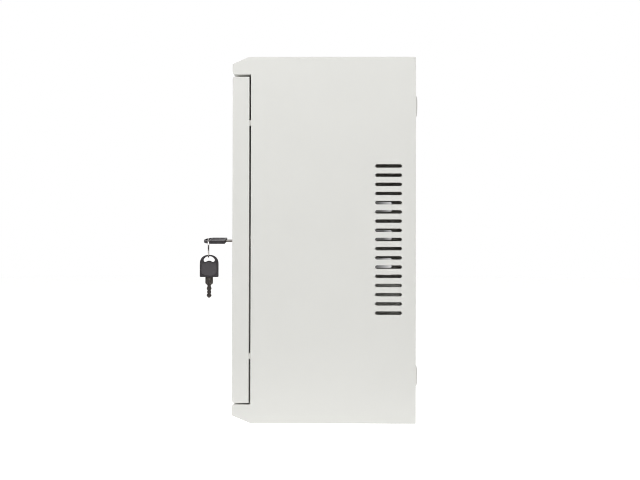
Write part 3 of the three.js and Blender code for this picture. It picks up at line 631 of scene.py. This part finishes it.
# Soft buffers between the lip and the closed door: a rounded block on a thin foot
for level, z in (("upper", 375.2), ("lower", 83.6)):
    block = box(144.5, 155.7, -94.08, -92.15, z - 3.5, z + 3.5)
    add_piece(f"door_buffer_{level}_soft", block, "buffer", replaces=f"door_buffer_{level}",
              angle=35, bevel=0.32)
    foot = box(145.0, 155.3, -92.2, -91.83, z - 3.1, z + 3.1)
    add_piece(f"door_buffer_{level}_foot", foot, "buffer", angle=35, bevel=0.08, segments=2)


# ------------------------------------------------------------------ earth stud
def toothed_outline(count=20, outer=5.6, inner=4.9):
    points = []
    for i in range(count):
        for radius, part in ((outer, 0), (outer, 0.45), (inner, 0.55), (inner, 0.9)):
            turn = 2 * math.pi * (i + part) / count
            points.append((radius * math.cos(turn), radius * math.sin(turn)))
    return points


# Welded foot and threaded stud pointing right (+X), with a nut over a toothed washer
EARTH = (-154.5, 40.0, 32.0)
stud = [(0, 0), (7.0, 0), (7.0, 0.8), (6.4, 1.35), (3.3, 1.5)]  # radius, height
stud += thread(3.0, 0.28, 1.8, 13.6, 1.0) + [(2.7, 13.6), (2.2, 14.4), (0, 14.4)]
add_piece("earth_stud_threaded", lathe(stud, 40), "steel", place=along((1, 0, 0), EARTH),
          replaces="earth_stud")
add_piece("earth_nut", hex_nut(9.6, 3.3, 7.6, 3.05), "zinc",
          place=along((1, 0, 0), EARTH, spin=0.35), angle=30)
add_piece("earth_toothed_washer", prism(toothed_outline(), 2.6, 3.2, (circle(3.15),)), "zinc",
          place=along((1, 0, 0), EARTH), angle=30, bevel=0.1, segments=1)

# ------------------------------------------------------------------ hinge pins, lever and spring
# radius, z
LOWER_PIN = [(0, 16), (2.1, 16), (2.5, 16.4), (2.5, 18), (3.3, 18), (3.6, 18.3), (3.6, 21.3),
             (3.3, 21.6), (2.5, 21.6), (2.5, 32.9), (1.5, 34), (0, 34)]
UPPER_PIN = [(0, 391), (2.1, 391), (2.5, 391.4), (2.5, 419.5), (3.7, 419.5), (4.0, 419.8),
             (4.0, 421.0), (3.7, 421.3), (2.5, 421.3), (2.5, 440.9), (1.5, 442), (0, 442)]
LEVER_Z = 391.6
COIL_TURNS, COIL_R, COIL_WIRE_R = 6.5, 3.5, 0.5
COIL_Z = (402.35, 418.75)  # centre of the wire at its two ends

hinge_axis = along((0, 0, 1), (HINGE_X, HINGE_Y, 0))
add_piece("hinge_pin_lower_turned", lathe(LOWER_PIN), "steel", place=hinge_axis,
          replaces="hinge_pin_lower")
add_piece("hinge_pin_upper_turned", lathe(UPPER_PIN), "steel", "upper_hinge_pin", hinge_axis,
          replaces="hinge_pin_upper")

# The lever points right from the upper pin, with five raised rings
lever = [(0, -1.0), (1.6, -1.0), (1.6, 5.6), (2.0, 6.0)]
for i in range(5):
    lever += [(radius, z + 1.6 * i)
              for radius, z in ((2.0, 6.4), (2.35, 6.8), (2.35, 7.3), (2.0, 7.7))]
lever += [(2.0, 14.6), (1.4, 15.0), (0, 15.0)]
add_piece("hinge_pin_lever", lathe(lever, 36), "steel", "upper_hinge_pin",
          along((1, 0, 0), (HINGE_X, HINGE_Y, LEVER_Z)))


def coil_rise(t):
    """Share of the coil's height at share t of its length; the end turns lie almost flat."""
    end = 1.0 / COIL_TURNS
    if t < end:
        return 0.06 * t / end
    if t > 1 - end:
        return 0.94 + 0.06 * (t - (1 - end)) / end
    return 0.06 + 0.88 * (t - end) / (1 - 2 * end)


coil = []
coil_steps = int(COIL_TURNS * 28)
for i in range(coil_steps + 1):
    t = i / coil_steps
    turn = 2 * math.pi * COIL_TURNS * t
    coil.append((HINGE_X + COIL_R * math.cos(turn), HINGE_Y + COIL_R * math.sin(turn),
                 COIL_Z[0] + (COIL_Z[1] - COIL_Z[0]) * coil_rise(t)))
spring = add_piece("hinge_pin_spring_coiled", sweep(coil, circle(COIL_WIRE_R, 10)), "steel",
                   "door", replaces="hinge_pin_spring", angle=60)
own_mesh(spring)

# ------------------------------------------------------------------ lock
# Collar in front of the door: radius, distance behind the door front
LOCK_COLLAR = [(6.15, -1.1), (6.5, -1.5), (9.2, -1.5), (9.5, -2.25), (10.3, -2.3), (10.75, -1.95),
               (11.35, -0.8), (11.4, -0.3), (11.3, -0.15), (9.3, -0.1), (9.3, 2.1)]

lock_axis = along((0, 1, 0), (LOCK_X, 0, LOCK_Z))  # local z is Y
housing = [(6.15, -92.2)] + [(radius, DOOR_FRONT_Y + back) for radius, back in LOCK_COLLAR]
housing += thread(9.3, 0.45, DOOR_FRONT_Y + 2.5, -92.8, 1.2) + [(8.9, -92.4), (8.6, -92.2)]
add_piece("lock_housing_turned", lathe(housing, 96), "nickel", "door", lock_axis,
          replaces="lock_housing", angle=28)
lock_nut = hex_nut(22.6, DOOR_FRONT_Y + 1.5, DOOR_FRONT_Y + 5.5, 9.45, count=72, chamfer=0.6)
add_piece("lock_nut_hex", lock_nut, "zinc", "door", lock_axis @ Matrix.Rotation(0.26, 4, "Z"),
          replaces="lock_nut", angle=30)

# The plug has a square tail and a slot for the key; it and its nut are rolled with the key
rolled = Matrix.Translation((LOCK_X, 0, LOCK_Z)) @ Matrix.Rotation(KEY_ROLL, 4, "Y")
plug_axis = rolled @ Matrix.Rotation(-math.pi / 2, 4, "X")  # local z is Y
plug = lathe([(0, DOOR_FRONT_Y - 2.1), (5.2, DOOR_FRONT_Y - 2.1), (5.6, DOOR_FRONT_Y - 2.0),
              (5.9, DOOR_FRONT_Y - 1.6), (5.9, -92.0), (5.5, -91.5), (0, -91.5)], 72)
plug = boolean(plug, box(-3.1, 3.1, -3.1, 3.1, -92.4, -85.3), "UNION")
plug = boolean(plug, box(-3.4, 3.4, -1.25, 1.25, DOOR_FRONT_Y - 4, -97))
add_piece("lock_plug_keyed", plug, "nickel", "lock", plug_axis, replaces="lock_plug", angle=28)
cam_nut = boolean(hex_nut(12.2, -87.8, -85.6, 2.0, count=40, chamfer=0.3),
                  box(-3.35, 3.35, -3.35, 3.35, -90, -84))
add_piece("cam_nut_hex", cam_nut, "zinc", "lock", plug_axis, replaces="cam_nut", angle=30)


# ------------------------------------------------------------------ keys
# In a key's own frame u (x) runs across, v (y) from the grip's arched tip to the blade's tip.
def mirrored(half):
    """A half outline and its mirror image in u = 0."""
    return half + [(-u, v) for u, v in reversed(half) if u]


def smoothed(points):
    """Two rounds of corner cutting on a closed outline."""
    for _ in range(2):
        cut = []
        for (u0, v0), (u1, v1) in zip(points, points[1:] + points[:1]):
            cut += [(0.75 * u0 + 0.25 * u1, 0.75 * v0 + 0.25 * v1),
                    (0.25 * u0 + 0.75 * u1, 0.25 * v0 + 0.75 * v1)]
        points = cut
    return points


# Outlines: u, v
EYE = mirrored([(0, 1.75), (2.8, 1.95), (5.3, 3.3), (7.2, 5.4), (7.5, 7.0), (6.5, 8.7), (4.6, 9.0),
                (3.0, 8.5), (1.5, 7.55), (0, 7.4)])
PANEL = mirrored([(-9.7, 26.3), (-9.7, 12.2), (-8.9, 9.6), (-7.0, 10.2), (-4.6, 10.5),
                  (-2.8, 10.0), (-1.3, 9.1)])
PANEL_DEPTH = 0.45
# v counted from the end of the grip
BLADE_OUTLINE = mirrored([
    (4.75, 0), (4.75, 7.6), (4.5, 8.3), (3.4, 9.3), (2.3, 10.2), (1.95, 11.0), (1.95, 11.8),
    (2.5, 13.0), (2.95, 14.0), (3.0, 14.6), (2.7, 15.6), (2.05, 16.7), (2.0, 17.4), (2.5, 18.6),
    (2.55, 19.3), (2.05, 20.5), (2.0, 21.1), (2.8, 22.4), (3.0, 23.2), (2.9, 23.9), (2.3, 24.9),
    (1.1, 26.0), (0.45, 26.4)])
# v, share of the full grip thickness
TAPER = [(0.0, 0.60), (3.0, 0.80), (6.5, 0.93), (10.0, 1.0), (99.0, 1.0)]


def grip_outline():
    """A superelliptic arch at the tip and two rounded corners at the blade."""
    half_w, power, arch_h, corner_r = GRIP_W / 2, 2 / 2.3, 11.6, 1.1
    points = []
    for i in range(37):
        turn = math.pi - math.pi * i / 36
        c, s = math.cos(turn), math.sin(turn)
        points.append((half_w * math.copysign(abs(c) ** power, c),
                       arch_h - arch_h * abs(s) ** power))
    for side, start in ((1, 0), (-1, 90)):
        for i in range(5):
            turn = math.radians(start + 90 * i / 4)
            points.append((side * (half_w - corner_r) + corner_r * math.cos(turn),
                           GRIP_L - corner_r + corner_r * math.sin(turn)))
    return points


def thickness_share(v):
    for (v0, share0), (v1, share1) in zip(TAPER, TAPER[1:]):
        if v <= v1:
            return share0 + (share1 - share0) * max(0.0, v - v0) / (v1 - v0)


def grip(key, place):
    """Moulded grip: thinner towards its tip, with an eye and a recessed panel on both sides."""
    bm = prism(grip_outline(), -GRIP_T / 2, GRIP_T / 2, (smoothed(EYE),))
    for v, _ in TAPER[1:-1]:
        bmesh.ops.bisect_plane(bm, geom=bm.verts[:] + bm.edges[:] + bm.faces[:],
                               plane_co=(0, v, 0), plane_no=(0, 1, 0))
    for vert in bm.verts:
        vert.co.z *= thickness_share(vert.co.y)
    soften(bm, width=0.5, segments=3, angle=40, flat=0.3)
    bm = boolean(bm, box(-5, 5, GRIP_L - 4.3, GRIP_L + 1, -BLADE_T / 2 - 0.3, BLADE_T / 2 + 0.3))
    panel_z = GRIP_T / 2 - PANEL_DEPTH
    for side in (-1, 1):
        z0, z1 = sorted((side * panel_z, side * (GRIP_T / 2 + 1)))
        bm = boolean(bm, prism(smoothed(PANEL), z0, z1))
    piece = add_piece(f"{key}_grip_moulded", bm, "grip_plastic", key, place,
                      replaces=f"{key}_grip", angle=30, bevel=0.14, segments=2)
    # The panel faces take the lighter copy of the plastic: painted light
    piece.data.materials.append(GRIP_PANEL)
    to_key = place.inverted()
    for face in piece.data.polygons:
        centre = to_key @ (face.center / MM)
        if centre.y > 9.0 and abs(abs(centre.z) - panel_z) < 0.03:
            face.material_index = 1


def blade(key, place):
    """Blade: a root inside the grip, cuts on both edges and a groove down each face."""
    bm = boolean(prism([(u, v + GRIP_L) for u, v in BLADE_OUTLINE], -BLADE_T / 2, BLADE_T / 2),
                 box(-4.75, 4.75, GRIP_L - 4.0, GRIP_L + 0.4, -BLADE_T / 2, BLADE_T / 2), "UNION")
    groove_r, groove_u, groove_depth = 0.55, 0.35, 0.35
    for side in (-1, 1):
        z0, z1 = sorted((side * (BLADE_T / 2 - groove_depth), side * (BLADE_T / 2 + 1)))
        groove = []
        for start, v in ((0, 25.2), (math.pi, 4.0)):
            for i in range(9):
                turn = start + math.pi * i / 8
                groove.append((groove_r * math.cos(turn) - groove_u * side,
                               GRIP_L + v + groove_r * math.sin(turn)))
        bm = boolean(bm, prism(groove, z0, z1))
    add_piece(f"{key}_blade_cut", bm, "steel", key, place, replaces=f"{key}_blade",
              material=BLADE, angle=30, bevel=0.14, segments=2, bevel_angle=50)


# The spare key hangs tip up from the bottom of the ring, its faces to the left and right
spare_z = RING_CENTRE[2] - RING_R + RING_WIRE_R + 0.5 + 1.8
spare_place = Matrix(((0, 0, 1, RING_CENTRE[0]), (-1, 0, 0, RING_CENTRE[1] + 0.9),
                      (0, -1, 0, spare_z), (0, 0, 0, 1)))
key_place = rolled @ Matrix.Translation((0, GRIP_END_Y - GRIP_L, 0))
for key, place in (("key", key_place), ("spare_key", spare_place)):
    grip(key, place)
    blade(key, place)


def split_ring_path(steps=168, swap=0.20, start=2.2, layer=0.41):
    """Two turns lying layer either side of the middle, swapping over within swap radians."""
    across = Vector((math.cos(RING_YAW), math.sin(RING_YAW), 0))
    points = []
    for i in range(steps + 1):
        t = swap + (4 * math.pi - 2 * swap) * i / steps
        blend = min(1.0, max(0.0, (t - (2 * math.pi - swap)) / (2 * swap)))
        blend = blend * blend * (3 - 2 * blend)
        turn = t + start
        points.append(Vector(RING_CENTRE) + across * (RING_R * math.cos(turn))
                      + Vector((0, 0, RING_R * math.sin(turn)))
                      + ring_normal * (layer * (2 * blend - 1)))
    return points


ring_normal = Vector((-math.sin(RING_YAW), math.cos(RING_YAW), 0))
# Chamfered wire: in the ring's radius, along its normal
RING_SECTION = [(-0.58, -0.39), (0.58, -0.39), (RING_WIRE_R, -0.2), (RING_WIRE_R, 0.2),
                (0.58, 0.39), (-0.58, 0.39), (-RING_WIRE_R, 0.2), (-RING_WIRE_R, -0.2)]
add_piece("key_ring_split", sweep(split_ring_path(), RING_SECTION, up=ring_normal), "nickel",
          "ring", replaces="key_ring", material=RING, angle=40)


# ------------------------------------------------------------------ floor, in metres
def floor_material():
    """Pale floor that glows a little, so that it meets the white backdrop without a line."""
    g = Surface("pale_floor")
    drift = g.noise(scale=3.0, detail=3, roughness=0.6)
    white = g.mix(g.span(drift, to=(0, 1)), grey(0.90), grey(0.92))
    spot = g.node("ShaderNodeSeparateXYZ")
    g.set(spot.inputs[0], g.position)
    # Distance outside the cabinet's footprint, from its half width and half depth
    out_x = g.math("SUBTRACT", g.math("ABSOLUTE", spot.outputs["X"]), 0.156)
    out_y = g.math("SUBTRACT", g.math("ABSOLUTE", spot.outputs["Y"]), 0.115)
    near = g.span(g.math("MAXIMUM", out_x, out_y), to=(FLOOR_RING, 0.0), source=(0.05, 0.15))
    glow = g.math("ADD", near, FLOOR_GLOW)
    # Brighter for the camera alone; mirrors see it dark towards the camera and beyond
    rays = g.node("ShaderNodeLightPath")
    lit = g.math("MAXIMUM", g.span(spot.outputs["X"], to=(1.0, 0.06), source=(0.35, 0.7)),
                 g.math("SUBTRACT", 1.0, rays.outputs["Is Glossy Ray"]))
    white = g.mix(lit, grey(0.03), white)
    glow = g.math("ADD", g.scaled(glow, by=lit), g.scaled(rays.outputs["Is Camera Ray"], by=0.35))
    return g.finish(Base_Color=white, Roughness=g.span(g.noise(scale=40), to=(0.8, 0.92)),
                    Normal=g.bump(g.noise(scale=260), strength=0.05, distance=0.0004),
                    Emission_Color=grey(1.0), Emission_Strength=glow, Specular_IOR_Level=0.15)


disc = bpy.data.meshes.new("floor")
disc.from_pydata([(x, y, -0.0003) for x, y in circle(12, 96)], [], [list(range(96))])
floor = bpy.data.objects.new("floor", disc)
scene.collection.objects.link(floor)
disc.materials.append(floor_material())


# ------------------------------------------------------------------ world
def build_world():
    scene.world = bpy.data.worlds.new("studio")
    g = Shader(scene.world)
    way = g.node("ShaderNodeSeparateXYZ")
    g.set(way.inputs[0], g.node("ShaderNodeTexCoord").outputs["Generated"])
    x, y, z = (way.outputs[axis] for axis in "XYZ")
    # As light: soft sky, stronger overhead, with the dark of the room low behind the camera
    sky = g.span(z, to=SKY, source=(-0.2, 0.9))
    room = g.span(g.scaled(x, by=1.0), to=(1.0, 0.12), source=(0.72, 0.93), smooth=True)
    high = g.span(z, to=(0.0, 1.0), source=(0.35, 0.60), smooth=True)
    room = g.math("MAXIMUM", room, high)
    light = g.node("ShaderNodeBackground")
    g.feed(light, Color=(1.0, 0.995, 0.985, 1), Strength=g.math("MULTIPLY", sky, room))
    # As backdrop: white, grey in a small ellipse that only shows through the slots;
    # each axis of it has a centre and a half size
    oval_y = g.math("DIVIDE", g.math("SUBTRACT", y, 0.010), 0.043)
    oval_z = g.math("DIVIDE", g.math("SUBTRACT", z, 0.040), 0.100)
    distance = g.math("ADD", g.scaled(oval_y, by=oval_y), g.scaled(oval_z, by=oval_z))
    oval = g.span(distance, to=(0.11, 1.0), source=(0.25, 1.0))
    elsewhere = g.span(x, to=(0.0, 1.0), source=(-0.5, 0.0))
    backdrop = g.node("ShaderNodeBackground")
    g.feed(backdrop, Color=grey(1), Strength=g.math("MAXIMUM", oval, elsewhere))
    # The camera sees the backdrop, and so do mirrors that look away from the camera
    rays = g.node("ShaderNodeLightPath")
    mirrored_rays = g.math("MULTIPLY", rays.outputs["Is Glossy Ray"],
                           g.span(x, to=(0.0, 1.0), source=(-0.2, -0.5)))
    seen = g.math("MAXIMUM", rays.outputs["Is Camera Ray"], mirrored_rays)
    mixed = g.mix_shaders(seen, light, backdrop)
    g.set(g.node("ShaderNodeOutputWorld").inputs[0], mixed)


build_world()


# ------------------------------------------------------------------ lights and camera, in metres
def softbox(name, at, size, power):
    """Square area light aimed at the middle of the cabinet."""
    light = bpy.data.lights.new(name, "AREA")
    light.shape = "RECTANGLE"
    light.size = light.size_y = size
    light.energy = power
    lamp = bpy.data.objects.new(name, light)
    lamp.location = at
    lamp.rotation_mode = "QUATERNION"
    aim = Vector((0, 0, 0.23)) - Vector(at)
    lamp.rotation_quaternion = aim.to_track_quat("-Z", "Y")
    scene.collection.objects.link(lamp)


softbox("key_softbox", at=(2.0, -1.3, 2.1), size=1.6, power=KEY_POWER)
softbox("fill_softbox", at=(2.1, 1.3, 1.2), size=1.4, power=KEY_POWER * 0.5)
softbox("top_softbox", at=(1.05, -0.25, 1.6), size=0.9, power=TOP_POWER)
softbox("front_softbox", at=(-1.2, -2.4, 1.3), size=1.4, power=KEY_POWER * 1.2)
softbox("back_softbox", at=(-1.4, 2.2, 1.6), size=1.6, power=KEY_POWER * 1.2)

# The camera looks at the right side of the cabinet, along -X
camera_data = bpy.data.cameras.new("camera")
camera = bpy.data.objects.new("camera", camera_data)
scene.collection.objects.link(camera)
camera_data.sensor_width = 36.0
camera_data.lens = 45.2148
camera_data.shift_x = -0.044402
camera_data.shift_y = 0.026653
camera_data.clip_start = 0.05
camera_data.clip_end = 60
camera_right = Vector((-0.011942, 0.999927, 0.001605))
camera_up = Vector((0.009481, -0.001492, 0.999954))
camera_axes = Matrix((camera_right, camera_up, camera_right.cross(camera_up)))
camera_place = camera_axes.transposed().to_4x4()
camera_place.translation = Vector((1.159109, 0.042422, 0.197977))
camera.matrix_world = camera_place
scene.camera = camera

scene.cycles.filter_width = 1.0
scene.view_settings.view_transform = "Standard"
scene.view_settings.look = "None"
scene.view_settings.exposure = 0.0
scene.view_settings.gamma = 1.0
